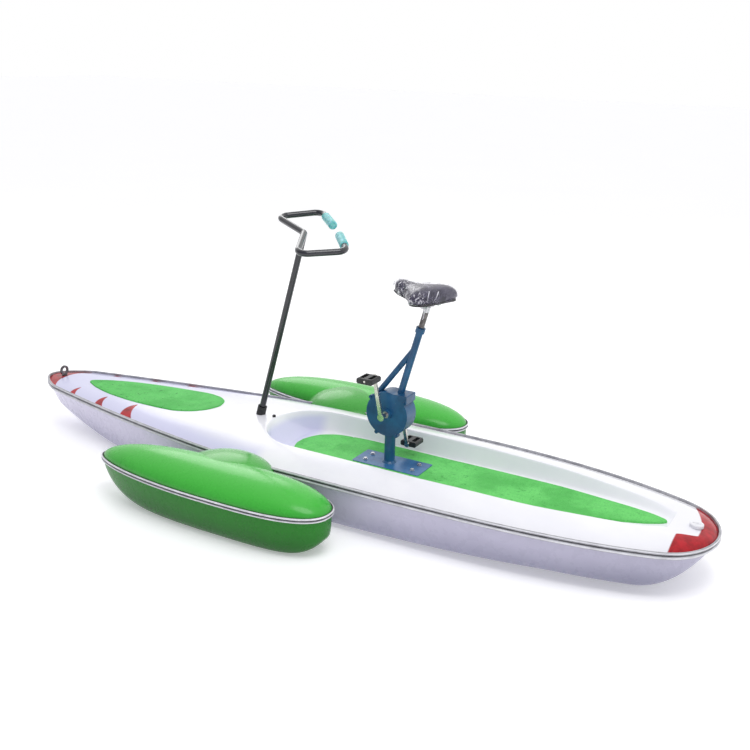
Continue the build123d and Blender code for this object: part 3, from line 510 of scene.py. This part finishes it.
BLACK_BAR = finished("black_enamel", (0.010, 0.011, 0.015), (0.022, 0.023, 0.030), (0.14, 0.30),
                     30, 300, 0.0001, coat=0.5)
RUBBER = finished("black_rubber", (0.012, 0.012, 0.013), (0.030, 0.030, 0.032), (0.5, 0.75), 60, 500, 0.0002)
PLASTIC = finished("black_plastic", (0.014, 0.014, 0.016), (0.035, 0.034, 0.036), (0.35, 0.55),
                   50, 600, 0.0002)
WHITE_CAP = finished("white_plastic", (0.72, 0.72, 0.75), (0.88, 0.88, 0.90), (0.3, 0.5), 40)
TEAL = finished("teal_grip", (0.080, 0.420, 0.430), (0.260, 0.640, 0.640), (0.25, 0.45), 60, 350, 0.0003,
                Subsurface_Weight=0.25)
COVER = finished("saddle_vinyl", (0.016, 0.015, 0.028), (0.045, 0.041, 0.066), (0.22, 0.42),
                 30, 500, 0.0003, coat=0.3)
FILM = film_material()
TIE = finished("film_tie", (0.70, 0.69, 0.74), (0.90, 0.89, 0.93), (0.15, 0.35), 60, 200, 0.0006)

CAD_FINISH = {
    WEATHERED: ["tow_eye", "seat_post"],
    STEEL: ["plate_bolts", "drive_shaft", "prop_shaft", "saddle_rails", "saddle_clamp",
            "cross_tube_fore", "cross_tube_aft"],
    GEARS: ["axle_bearing_port", "axle_bearing_stbd", "shaft_bearing", "leg_bearing", "prop_bearing",
            "crank_gear", "upper_pinion", "lower_pinion", "prop_gear"],
    ALLOY: ["crank_axle", "crank_arm_port", "crank_arm_stbd", "pedal_spindle_port", "pedal_spindle_stbd"],
    BLUE: ["pedestal", "gear_case", "case_cover", "case_screws", "seat_frame", "seat_collar", "lower_leg"],
    BLUE_PLATE: ["base_plate"],
    BLACK_BAR: ["steering_column", "handlebar"],
    RUBBER: ["deck_stud", "column_collar", "rudder_trunk"],
    PLASTIC: ["rudder_blade", "propeller", "saddle_base", "pedal_body_port", "pedal_body_stbd"],
    WHITE_CAP: ["stern_plug", "column_bush_upper", "column_bush_lower"],
    TEAL: ["grip_port", "grip_stbd"],
}
for finish, names in CAD_FINISH.items():
    for node_name in names:
        slots = NODES[node_name].data.materials
        slots.clear()
        slots.append(finish)


# ---- hull and deck -----------------------------------------------------------------
def hull_mesh():
    """Hull moulding, open on top, with its propeller tunnel and rudder well cut out."""
    rows = 260
    x = STERN_TIP + (BOW_TIP - STERN_TIP) * ends(rows)
    across = smooth_table([(0, 1.0), (1, 0.985), (2, 0.95), (3, 0.85), (4, 0.5), (5, 0.0)])
    down = smooth_table([(0, 0.0), (1, 0.4), (2, 0.8), (3, 0.95), (4, 0.99), (5, 1.0)])
    t = np.linspace(0, 5, 31)
    t = np.concatenate([t, 10 - t[-2::-1]])
    a = np.where(t <= 5, across(np.minimum(t, 5)), -across(10 - np.maximum(t, 5)))
    b = down(np.where(t <= 5, t, 10 - t))
    half, low = hull_half(x)[:, None], keel_z(x)[:, None]
    vee = 0.3 * np.maximum(x - 0.8, 0)[:, None] / 0.66
    top = rail_z(x)[:, None]
    depth = top - low
    y = half * a[None] * (1 - vee * b[None])
    z = np.maximum(top - depth * b[None], 0.0)
    points = np.stack([np.broadcast_to(x[:, None], y.shape), y, z], -1)
    hull = grid("hull_side", points, SIDE, loop_cols=True, caps=True)
    verts = [(px, side * TUNNEL_HALF, pz) for side in (1, -1) for px, pz in TUNNEL]
    n = len(TUNNEL)
    faces = [tuple(range(n)), tuple(range(n, 2 * n))]
    faces += [(i, (i + 1) % n, n + (i + 1) % n, n + i) for i in range(n)]
    turns = np.linspace(0, 2 * np.pi, WELL_SIDES + 1)[:-1]
    ring = np.stack([WELL_X + WELL_RADIUS * np.cos(turns), WELL_RADIUS * np.sin(turns)], -1)
    well = np.stack([np.c_[ring, np.full(WELL_SIDES, height)] for height in (WELL_LOW, WELL_TOP)])
    cutters = [make("tunnel_tool", verts, faces, SIDE, smooth=False),
               grid("well_tool", well, SIDE, loop_cols=True, caps=True, smooth=False)]
    for tool in cutters:
        cut = hull.modifiers.new("cut", "BOOLEAN")
        cut.operation, cut.solver, cut.object = "DIFFERENCE", "EXACT", tool
    applied(hull)
    for tool in cutters:
        bpy.data.objects.remove(tool)
    bm = bmesh.new()
    bm.from_mesh(hull.data)
    lid = [f for f in bm.faces if min(v.co.z - float(rail_z(v.co.x)) for v in f.verts) > -1e-4]
    bmesh.ops.delete(bm, geom=lid, context="FACES")
    bm.to_mesh(hull.data)
    bm.free()
    sharpen(hull, 40)
    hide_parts("hull_shell")


def deck_mesh():
    """Crowned deck with the sunk cockpit, as one open sheet that ends at the rail."""
    pitch = 0.0034
    middle = np.arange(STERN_TIP + DECK_TIP, BOW_TIP - DECK_TIP, pitch)
    tips = ends(36)
    first = STERN_TIP + DECK_TIP * tips[:18] / tips[18]
    last = BOW_TIP - DECK_TIP * tips[:18][::-1] / tips[18]
    x = np.concatenate([first, middle, last])
    columns = 211
    v = np.linspace(-1, 1, columns)
    v = np.sign(v) * (1 - (1 - np.abs(v)) ** 1.12)
    half = hull_half(x)[:, None]
    grid_x = np.broadcast_to(x[:, None], (len(x), columns))
    grid_y = half * v[None]
    z = deck_surface(grid_x, grid_y)
    points = np.stack([grid_x, grid_y, z], -1)
    deck = grid("deck_moulding", points, DECK)
    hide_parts("deck_shell")
    step = 0.0006

    def normal(px, py):
        """Direction straight out of the deck's own surface, for smooth shading round the lip."""
        dx = (deck_surface(px + step, py) - deck_surface(px - step, py)) / (2 * step)
        dy = (deck_surface(px, py + step) - deck_surface(px, py - step)) / (2 * step)
        return np.stack([-dx, -dy, np.ones_like(dx)], -1)

    mesh = deck.data
    co = np.zeros(len(mesh.vertices) * 3)
    mesh.vertices.foreach_get("co", co)
    co = co.reshape(-1, 3)
    keep = (np.abs(co[:, 0] + 0.07) < 1.35) & (np.abs(co[:, 1]) < hull_half(co[:, 0]) - 0.003)
    own = np.zeros(len(co) * 3)
    mesh.vertices.foreach_get("normal", own)
    own = own.reshape(-1, 3)
    new = normal(co[:, 0], co[:, 1])
    new /= np.linalg.norm(new, axis=1)[:, None]
    new = np.where(keep[:, None], new, own)
    mesh.normals_split_custom_set_from_vertices([tuple(n) for n in new])


def leaf_pad(name, outline, surface, foam, lift, seam=None):
    """Foam sheet of a leaf outline lying on a surface, with a rolled edge."""
    x0, x1 = outline[0][0], outline[-1][0]
    rows, cols = ((260, 81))
    t = ends(rows)
    x = x0 + (x1 - x0) * t
    half_at = smooth_table(outline)
    end = np.minimum(np.minimum(x - x0, x1 - x) / 0.014, 1.0)
    half = half_at(x) * np.sqrt(1 - (1 - np.clip(end, 0, 1)) ** 2)
    half = np.maximum(half, 0.0005)
    v = np.linspace(-1, 1, cols)
    gx = np.broadcast_to(x[:, None], (rows, cols))
    gy = half[:, None] * v[None]
    from_side = (1 - np.abs(v))[None] * half[:, None]
    from_end = np.minimum(x - x0, x1 - x)[:, None]
    edge = np.clip(np.minimum(from_side, from_end) / 0.004, 0, 1)
    z = surface(gx, gy) - 0.001 + (lift + 0.001) * np.sqrt(1 - (1 - edge) ** 2)
    if seam is not None:
        z = z - 0.0022 * np.exp(-((gx - seam) / 0.0022) ** 2)
    pad = grid(name, np.stack([gx, gy, z], -1), foam)
    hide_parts(name.replace("_foam", ""))


def ring_points(count, centre, half_at, low, high):
    """Closed outline as evenly spaced points with their outward directions."""
    x = low + (high - low) * ends(count)
    port = np.stack([x, half_at(x)], -1)
    stbd = np.stack([x[::-1], -half_at(x[::-1])], -1)
    loop = np.concatenate([port, stbd])
    seg = np.linalg.norm(np.diff(loop, axis=0, append=loop[:1]), axis=1)
    total = np.concatenate([[0], np.cumsum(seg)])
    want = np.linspace(0, total[-1], count * 2 + 1)[:-1]
    closed = np.concatenate([loop, loop[:1]])
    even = np.stack([np.interp(want, total, closed[:, k]) for k in (0, 1)], -1)
    ahead = np.roll(even, -1, 0) - np.roll(even, 1, 0)
    ahead /= np.linalg.norm(ahead, axis=1)[:, None]
    out = np.stack([-ahead[:, 1], ahead[:, 0]], -1)
    for _ in range(2):
        out = out + np.roll(out, 1, 0) + np.roll(out, -1, 0)
        out /= np.linalg.norm(out, axis=1)[:, None]
    middle = even.mean(0)
    if ((even - middle) * out).sum() < 0:
        out = -out
    return even + np.array([0, centre]), out


def rub_rail(name, node, count, centre, half_at, low, high, z, profile, kinds):
    """Extruded rub rail: profile points are (outward, up), each band with its own material."""
    loop, out = ring_points(count, centre, half_at, low, high)
    prof = np.array(profile)
    points = np.zeros((len(loop), len(prof), 3))
    points[:, :, 0] = loop[:, None, 0] + out[:, None, 0] * prof[None, :, 0]
    points[:, :, 1] = loop[:, None, 1] + out[:, None, 1] * prof[None, :, 0]
    height = z(loop[:, 0])[:, None] if callable(z) else z
    points[:, :, 2] = height + prof[None, :, 1]
    bands = np.tile(np.array(kinds), len(loop))
    # Materials by band: grey, painted shade, painted highlight.
    rail = grid(name, points, [RAIL_GREY, RAIL_SHADE, RAIL_HIGHLIGHT], loop_rows=True, loop_cols=True,
                face_mats=bands)
    sharpen(rail, 50)
    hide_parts(node)


# Rail sections, and the material of each band: 0 grey, 1 dark (painted shade), 2 pale (painted highlight).
# Pale bands lie on the upward bulges; dark bands lie in the grooves and along the rail's underside and inner
# edges.
HULL_RAIL = [(0.0012, 0.012), (0.005, 0.0125), (0.0085, 0.0115), (0.0105, 0.0085), (0.0105, 0.0055),
             (0.0080, 0.0040), (0.0068, 0.0020), (0.0068, -0.0010), (0.0082, -0.0030), (0.0108, -0.0050),
             (0.0110, -0.0085), (0.0090, -0.0112), (0.0050, -0.0120), (0.0012, -0.0120)]
HULL_RAIL_KINDS = [0, 0, 2, 0, 0, 1, 1, 0, 2, 2, 0, 0, 1, 0]
FLOAT_RAIL = [(0.0012, 0.009), (0.0045, 0.0092), (0.0070, 0.0082), (0.0080, 0.0060), (0.0076, 0.0038),
              (0.0052, 0.0024), (0.0046, 0.0), (0.0052, -0.0024), (0.0076, -0.0038), (0.0080, -0.0060),
              (0.0066, -0.0082), (0.0045, -0.0090), (0.0012, -0.0090)]
FLOAT_RAIL_KINDS = [1, 2, 2, 2, 2, 1, 1, 0, 2, 2, 0, 1, 1]

hull_mesh()
deck_mesh()
leaf_pad("fore_pad_foam", FORE_PAD, deck_top, FORE_FOAM, PAD)
leaf_pad("aft_pad_foam", AFT_PAD, floor_bed, AFT_FOAM, PAD + 0.004, seam=-0.105)
rub_rail("hull_rail", "hull_rub_rail", 520, 0.0, hull_half, STERN_TIP, BOW_TIP, rail_z,
         HULL_RAIL, HULL_RAIL_KINDS)


# ---- floats and arms ---------------------------------------------------------------
def float_half(part):
    """Half-breadth at part, from -1 at the after end to 1 at the forward end."""
    ahead = part > 0
    fine = (1 - np.abs(part) ** np.where(ahead, 1.88, 3.4)) ** np.where(ahead, 0.5, 0.43)
    return np.maximum(FLOAT_BEAM / 2 * fine, TIP_HALF)


def float_x(part, shift):
    return FLOAT_X + shift + part * np.where(part > 0, FLOAT_BOW, FLOAT_STERN)


def float_mesh(side, tag, shift):
    rows = 170
    part = -1 + 2 * ends(rows)
    x = float_x(part, shift)
    half = float_half(part)[:, None]
    fullness = np.where(part > 0, 1 - 0.9 * np.abs(part) ** 5.2, 1 - 0.5 * np.abs(part) ** 9)
    depth = (FLOAT_RAIL_Z + 0.005) * fullness
    across = smooth_table([(0, 1.0), (1, 0.97), (2, 0.86), (3, 0.62), (4, 0.3), (5, 0.0)])
    down = smooth_table([(0, 0.0), (1, 0.35), (2, 0.75), (3, 0.96), (4, 1.0), (5, 1.0)])
    t = np.linspace(0, 5, 26)
    a = np.concatenate([across(t), -across(t[-2::-1])])
    b = np.concatenate([down(t), down(t[-2::-1])])
    z = np.maximum(FLOAT_RAIL_Z - depth[:, None] * b[None], 0.0)
    y = side * FLOAT_Y + half * a[None]
    low = np.stack([np.broadcast_to(x[:, None], y.shape), y, z], -1)
    # The lower moulding takes the float green in painted shade.
    bottom = grid("float_lower_" + tag, low, GREEN_LOW_SHADED, loop_cols=True, caps=True)
    sharpen(bottom, 50)
    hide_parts("float_bottom_" + tag)

    turn = np.linspace(0, np.pi, 49)
    rise = (FLOAT_CROWN * (1 - np.abs(part) ** 3.2) ** 0.6 + 0.005)[:, None]
    y = side * FLOAT_Y + half * np.cos(turn)[None]
    z = FLOAT_RAIL_Z + rise * np.sin(turn)[None] ** 0.9
    high = np.stack([np.broadcast_to(x[:, None], y.shape), y, z], -1)
    top = grid("float_upper_" + tag, high, GREEN_TOP, loop_cols=True, caps=True)
    sharpen(top, 60)
    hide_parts("float_top_" + tag)

    def half_at(px):
        away = px - FLOAT_X - shift
        return float_half(np.clip(away / np.where(away > 0, FLOAT_BOW, FLOAT_STERN), -1, 1))
    rub_rail("float_rubber_" + tag, "float_rail_" + tag, 300, side * FLOAT_Y, half_at,
             FLOAT_X + shift - FLOAT_STERN, FLOAT_X + shift + FLOAT_BOW, FLOAT_RAIL_Z,
             FLOAT_RAIL, FLOAT_RAIL_KINDS)

    rows, cols = 60, 120
    lowest = math.asin((ARM_LOW - ARM_CENTRE[2]) / ARM_RADII[2])
    up = np.linspace(lowest, np.pi / 2, rows)[:, None]
    around = np.linspace(0, 2 * np.pi, cols + 1)[:-1][None]
    arm = np.stack([ARM_CENTRE[0] + ARM_RADII[0] * np.cos(up) * np.cos(around),
                    side * ARM_CENTRE[1] + ARM_RADII[1] * np.cos(up) * np.sin(around),
                    np.broadcast_to(ARM_CENTRE[2] + ARM_RADII[2] * np.sin(up), (rows, cols))], -1)
    dome = grid("arm_cover_" + tag, arm, ARM_GREEN, loop_cols=True)
    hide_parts("arm_fairing_" + tag)


float_mesh(1, "port", 0.0)
float_mesh(-1, "stbd", FLOAT_STBD_SHIFT)


# ---- saddle ------------------------------------------------------------------------
def saddle_points(rows, cols, grow=0.0, start=0.0, stop=2.0, closed=True):
    """The saddle's form as a grid: broad rear, narrow nose, dished along its length."""
    table = [(-0.088, 0.070, 0.60), (-0.070, 0.104, 0.86), (-0.040, 0.114, 1.0), (0.010, 0.076, 0.92),
             (0.060, 0.044, 0.80), (0.115, 0.031, 0.80), (0.145, 0.016, 0.55)]
    back, front = table[0][0], table[-1][0]
    half_at = smooth_table([(a, b) for a, b, c in table])
    full_at = smooth_table([(a, c) for a, b, c in table])
    x = back + (front - back) * ends(rows)
    end = np.minimum(np.minimum(x - back, front - x) / 0.018, 1.0)
    rounding = np.sqrt(1 - (1 - np.clip(end, 0, 1)) ** 2) * 0.85 + 0.15
    half = (half_at(x) * rounding + grow)[:, None]
    tall = (0.0497 * full_at(x) * (0.3 + 0.7 * rounding) + grow)[:, None]
    rise = (0.010 * (x / 0.150) ** 2)[:, None]
    turn = np.pi * np.linspace(start, stop, cols + closed)[:cols][None]
    c, s = np.cos(turn), np.sin(turn)
    y = half * np.sign(c) * np.abs(c) ** 0.8
    low = SADDLE_Z + 0.0125 + rise
    z = low + np.where(s >= 0, tall * np.abs(s) ** 0.75, -0.010 * np.abs(s) ** 0.8)
    stretch = (x / 0.150)[:, None] * grow
    along = np.broadcast_to(SADDLE_X - SADDLE_PIVOT + x[:, None] + stretch, y.shape)
    c, s = math.cos(SADDLE_TURN), math.sin(SADDLE_TURN)
    return np.stack([SADDLE_PIVOT + along * c - y * s, along * s + y * c, z], -1)


def simulate(piece, pressure, pins):
    """Puffs the cushion with a short cloth run and keeps the result."""
    cloth = piece.modifiers.new("puff", "CLOTH")
    s = cloth.settings
    s.quality, s.mass, s.air_damping = 6, 0.3, 2.0
    s.tension_stiffness = s.compression_stiffness = 40
    s.shear_stiffness, s.bending_stiffness = 20, 1.5
    s.use_pressure, s.uniform_pressure_force = True, pressure
    s.effector_weights.gravity = 0
    cloth.point_cache.frame_start, cloth.point_cache.frame_end = 1, CLOTH_FRAMES
    s.vertex_group_mass = pins
    scene = bpy.context.scene
    scene.frame_start, scene.frame_end = 1, CLOTH_FRAMES
    for step in range(1, CLOTH_FRAMES + 1):
        scene.frame_set(step)
    applied(piece)
    scene.frame_set(1)


def saddle_mesh():
    """The padded cushion, puffed by a little cloth at full detail and then smoothed."""
    base = saddle_points(40, 48)
    cushion = grid("saddle_cushion", base, COVER, body="seat", loop_cols=True, caps=True)
    remesh = cushion.modifiers.new("even", "REMESH")
    remesh.mode, remesh.voxel_size = "VOXEL", 0.0045
    applied(cushion)
    mesh = cushion.data
    before = np.array([v.co for v in mesh.vertices])
    pins = cushion.vertex_groups.new(name="stapled")
    floor = SADDLE_Z + 0.012
    low = [i for i, p in enumerate(before) if p[2] < floor + 0.010 * ((p[0] - SADDLE_X) / 0.150) ** 2]
    pins.add(low, 1.0, "REPLACE")
    simulate(cushion, 4.0, "stapled")
    mesh = cushion.data
    after = np.array([v.co for v in mesh.vertices])
    move = after - before
    length = np.linalg.norm(move, axis=1)
    limit = np.minimum(length, MOST_PUFF) / np.maximum(length, 1e-9)
    after = before + move * limit[:, None]
    mesh.vertices.foreach_set("co", after.ravel())
    mesh.update()
    soft = cushion.modifiers.new("soft", "SMOOTH")
    soft.factor, soft.iterations = 0.5, 6
    applied(cushion)
    mesh = cushion.data
    mesh.materials.clear()
    mesh.materials.append(COVER)
    mesh.polygons.foreach_set("use_smooth", [True] * len(mesh.polygons))
    mesh.update()
    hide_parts("saddle")


def wrap_mesh():
    """Thin clear film over the saddle and a little way under it: its form grown outward and creased."""
    rows, cols = ((110, 180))
    points = saddle_points(rows, cols, FILM_GAP, -0.36, 1.36, closed=False)
    flat = points.reshape(-1, 3)
    out = flat - np.array([SADDLE_X, 0, SADDLE_Z + 0.03])
    out /= np.linalg.norm(out, axis=1)[:, None]
    wave = np.zeros(len(flat))
    for k, p in enumerate(flat):
        v = Vector(p)
        crease = 1 - abs(noise.noise(v * 34)) * 2.4
        fold = 1 - abs(noise.noise(v * 75 + Vector((3, 1, 7)))) * 2.2
        wave[k] = 0.0030 * max(crease, 0) ** 2 + 0.0022 * max(fold, 0) ** 2
    flat = flat + out * wave[:, None]
    film = grid("saddle_film", flat.reshape(points.shape), FILM, body="seat")
    return film


def tie_strip(name, path, wide):
    """A twisted strip of gathered film along a path of points, from the saddle down to the post."""
    way = np.array(path)
    t = np.linspace(0, len(way) - 1, TIE_STATIONS)
    line = np.stack([np.interp(t, np.arange(len(way)), way[:, k]) for k in range(3)], -1)
    for _ in range(6):
        line[1:-1] = (line[:-2] + 2 * line[1:-1] + line[2:]) / 4
    ahead = np.gradient(line, axis=0)
    ahead /= np.linalg.norm(ahead, axis=1)[:, None]
    side = np.cross(ahead, np.array([0.2, 0.9, 0.3]))
    side /= np.linalg.norm(side, axis=1)[:, None]
    lift = np.cross(ahead, side)
    turn = np.linspace(0, 2 * np.pi, 9)[:-1]
    spin = np.linspace(0, 7, TIE_STATIONS)[:, None] + turn[None]
    width = wide * (0.75 + 0.35 * np.sin(np.linspace(0, 19, TIE_STATIONS)))[:, None]
    around = side[:, None] * (np.cos(spin) * width)[..., None]
    around = around + lift[:, None] * (np.sin(spin) * width * 0.45)[..., None]
    strip = grid(name, line[:, None] + around, TIE, body="seat", loop_cols=True, caps=True)
    return strip


saddle_mesh()
film = wrap_mesh()
strips = [tie_strip("film_tie_a", [(-0.552, 0.040, 0.876), (-0.551, 0.056, 0.852), (-0.520, 0.045, 0.822),
                                   (-0.495, 0.022, 0.796), (-0.483, 0.015, 0.760)], 0.0021),
          tie_strip("film_tie_b", [(-0.533, 0.077, 0.881), (-0.535, 0.091, 0.852), (-0.512, 0.058, 0.820),
                                   (-0.492, 0.026, 0.794), (-0.482, 0.017, 0.756)], 0.0018)]


# ---- floor, lights and camera ------------------------------------------------------
def stage_floor():
    mesh = bpy.data.meshes.new("floor")
    mesh.from_pydata([(-40, -40, 0), (40, -40, 0), (40, 40, 0), (-40, 40, 0)], [], [(0, 1, 2, 3)])
    floor = bpy.data.objects.new("floor", mesh)
    bpy.context.scene.collection.objects.link(floor)
    m = Mat("floor_paper", rough=0.95)
    m.paint(m.mix(m.noise(0.8, 2), (0.90, 0.90, 0.90), (0.93, 0.93, 0.93)))
    m.bsdf.inputs["Emission Color"].default_value = (1, 1, 1, 1)
    m.bsdf.inputs["Emission Strength"].default_value = FLOOR_GLOW
    mesh.materials.append(m.mat)
    floor.location.z = -0.001


def area_light(name, place, target, size, power, colour):
    data = bpy.data.lights.new(name, "AREA")
    data.shape, data.size, data.energy, data.color = "DISK", size, power, colour
    lamp = bpy.data.objects.new(name, data)
    lamp.location = place
    lamp.rotation_euler = (Vector(target) - Vector(place)).to_track_quat("-Z", "Y").to_euler()
    bpy.context.scene.collection.objects.link(lamp)


def camera():
    """The photo's camera, as a fit to the boat's outline placed it."""
    level = math.cos(CAMERA_PITCH)
    d = Vector((math.cos(CAMERA_YAW) * level, math.sin(CAMERA_YAW) * level, -math.sin(CAMERA_PITCH)))
    r = d.cross(Vector((0, 0, 1))).normalized()
    u = r.cross(d)
    right = r * math.cos(CAMERA_ROLL) + u * math.sin(CAMERA_ROLL)
    upward = -r * math.sin(CAMERA_ROLL) + u * math.cos(CAMERA_ROLL)
    data = bpy.data.cameras.new("camera")
    data.sensor_width, data.lens = SENSOR, LENS
    cam = bpy.data.objects.new("camera", data)
    axes = zip(right, upward, -d, CAMERA_PLACE)
    cam.matrix_world = Matrix([*axes, (0, 0, 0, 1)])
    bpy.context.scene.collection.objects.link(cam)
    bpy.context.scene.camera = cam


stage_floor()
for light in LIGHTS:
    area_light(*light)
bpy.context.scene.view_settings.view_transform = "Standard"
world = bpy.data.worlds.new("studio")
bpy.context.scene.world = world
world.use_nodes = True
tree = world.node_tree
split = tree.nodes.new("ShaderNodeSeparateXYZ")
tree.links.new(tree.nodes.new("ShaderNodeTexCoord").outputs["Generated"], split.inputs[0])
behind = Field(tree, split.outputs[1]).step(-0.45, 0.75)
backdrop = mixed(tree, behind, (1.0, 1.0, 1.0), (0.36, 0.36, 0.42))
tree.links.new(backdrop, tree.nodes["Background"].inputs["Color"])
camera()
